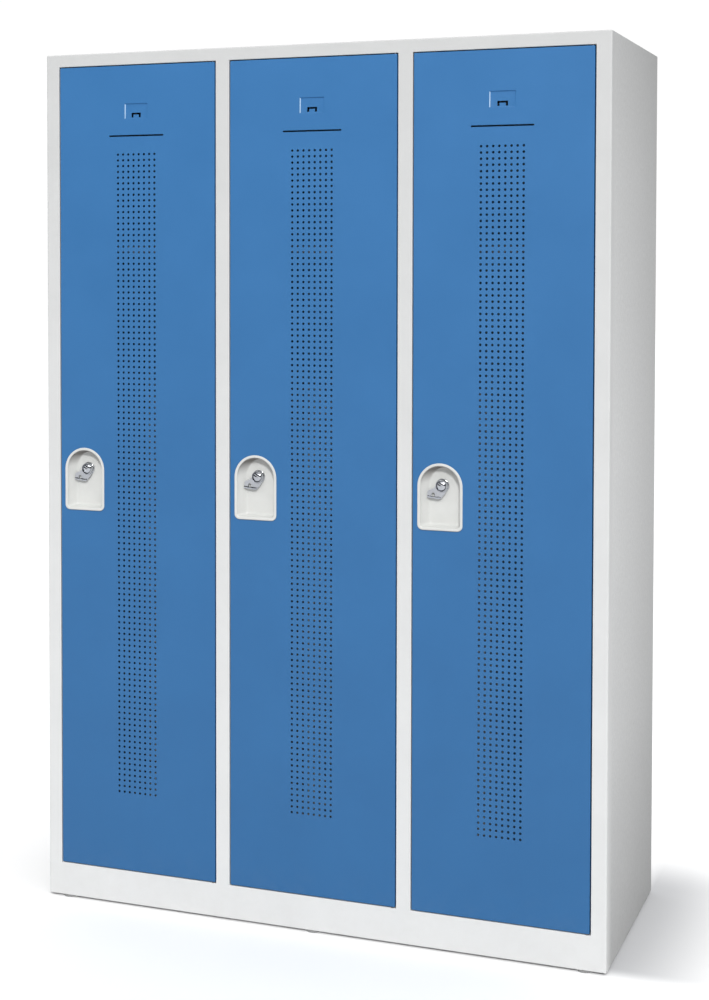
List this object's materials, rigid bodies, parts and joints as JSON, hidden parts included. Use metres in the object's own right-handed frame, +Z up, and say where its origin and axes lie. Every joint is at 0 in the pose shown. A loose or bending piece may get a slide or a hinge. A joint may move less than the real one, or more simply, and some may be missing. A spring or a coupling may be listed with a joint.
{
  "type": "locker cabinet",
  "caption": "Sheet-steel wardrobe locker with full-height perforated doors, recess handles with turn latches, hat shelves and clothes rails.",
  "frame": {"origin": "centre of the footprint on the floor", "axes": "doors face -Y, +X to the right seen from the front, +Z up"},
  "size_m": [1.2, 0.5, 1.8],
  "materials": {
    "cabinet_paint": "fine-textured satin powder coat",
    "door_paint": "fine-textured satin powder coat",
    "handle_plastic": "moulded satin plastic",
    "latch_chrome": "polished chrome plate",
    "zinc_steel": "zinc plated",
    "buffer_rubber": "matt",
    "glide_plastic": "matt",
    "washer_nylon": "satin"
  },
  "bodies": {
    "carcass": {"side_panel_left": "cabinet_paint", "side_panel_right": "cabinet_paint", "back_panel": "cabinet_paint", "top_panel": "cabinet_paint", "floor_panel": "cabinet_paint", "partition_left": "cabinet_paint", "partition_right": "cabinet_paint", "stile_left": "cabinet_paint", "stile_right": "cabinet_paint", "mullion_left": "cabinet_paint", "mullion_right": "cabinet_paint", "top_rail": "cabinet_paint", "plinth": "cabinet_paint", "base_rail": "cabinet_paint", "glides": "glide_plastic", "rail_sockets": "zinc_steel", "hinge_brackets": "zinc_steel", "hinge_washers": "washer_nylon", "door_buffers": "buffer_rubber", "rivets": "cabinet_paint", "shelf_left": "cabinet_paint", "shelf_middle": "cabinet_paint", "shelf_right": "cabinet_paint", "clothes_rail_left": "zinc_steel", "clothes_rail_middle": "zinc_steel", "clothes_rail_right": "zinc_steel"},
    "door_left": {"door_panel_left": "door_paint", "door_stiffener_left": "door_paint", "hinge_pins_left": "zinc_steel", "handle_shell_left": "handle_plastic", "lock_rosette_left": "latch_chrome", "lock_nut_left": "zinc_steel"},
    "latch_left": {"lock_lever_left": "latch_chrome", "lock_cam_left": "zinc_steel", "cam_screw_left": "zinc_steel"},
    "hook_left": {"coat_hook_left": "zinc_steel"},
    "door_middle": {"door_panel_middle": "door_paint", "door_stiffener_middle": "door_paint", "hinge_pins_middle": "zinc_steel", "handle_shell_middle": "handle_plastic", "lock_rosette_middle": "latch_chrome", "lock_nut_middle": "zinc_steel"},
    "latch_middle": {"lock_lever_middle": "latch_chrome", "lock_cam_middle": "zinc_steel", "cam_screw_middle": "zinc_steel"},
    "hook_middle": {"coat_hook_middle": "zinc_steel"},
    "door_right": {"door_panel_right": "door_paint", "door_stiffener_right": "door_paint", "hinge_pins_right": "zinc_steel", "handle_shell_right": "handle_plastic", "lock_rosette_right": "latch_chrome", "lock_nut_right": "zinc_steel"},
    "latch_right": {"lock_lever_right": "latch_chrome", "lock_cam_right": "zinc_steel", "cam_screw_right": "zinc_steel"},
    "hook_right": {"coat_hook_right": "zinc_steel"}
  },
  "joints": [
    {"name": "door_left_hinge", "type": "hinge", "parent": "carcass", "child": "door_left", "pos_m": [-0.2175, -0.243, 0.9], "axis": [0, 0, 1], "range_deg": [0, 105]},
    {"name": "latch_left_turn", "type": "hinge", "parent": "door_left", "child": "latch_left", "pos_m": [-0.512, -0.238, 0.923], "axis": [0, -1, 0], "range_deg": [0, 90]},
    {"name": "hook_left_slide", "type": "slide", "parent": "carcass", "child": "hook_left", "axis": [1, 0, 0], "range_m": [-0.15, 0.15]},
    {"name": "door_middle_hinge", "type": "hinge", "parent": "carcass", "child": "door_middle", "pos_m": [0.1725, -0.243, 0.9], "axis": [0, 0, 1], "range_deg": [0, 105]},
    {"name": "latch_middle_turn", "type": "hinge", "parent": "door_middle", "child": "latch_middle", "pos_m": [-0.122, -0.238, 0.923], "axis": [0, -1, 0], "range_deg": [0, 90]},
    {"name": "hook_middle_slide", "type": "slide", "parent": "carcass", "child": "hook_middle", "axis": [1, 0, 0], "range_m": [-0.15, 0.15]},
    {"name": "door_right_hinge", "type": "hinge", "parent": "carcass", "child": "door_right", "pos_m": [0.5625, -0.243, 0.9], "axis": [0, 0, 1], "range_deg": [0, 105]},
    {"name": "latch_right_turn", "type": "hinge", "parent": "door_right", "child": "latch_right", "pos_m": [0.268, -0.238, 0.923], "axis": [0, -1, 0], "range_deg": [0, 90]},
    {"name": "hook_right_slide", "type": "slide", "parent": "carcass", "child": "hook_right", "axis": [1, 0, 0], "range_m": [-0.15, 0.15]}
  ]
}
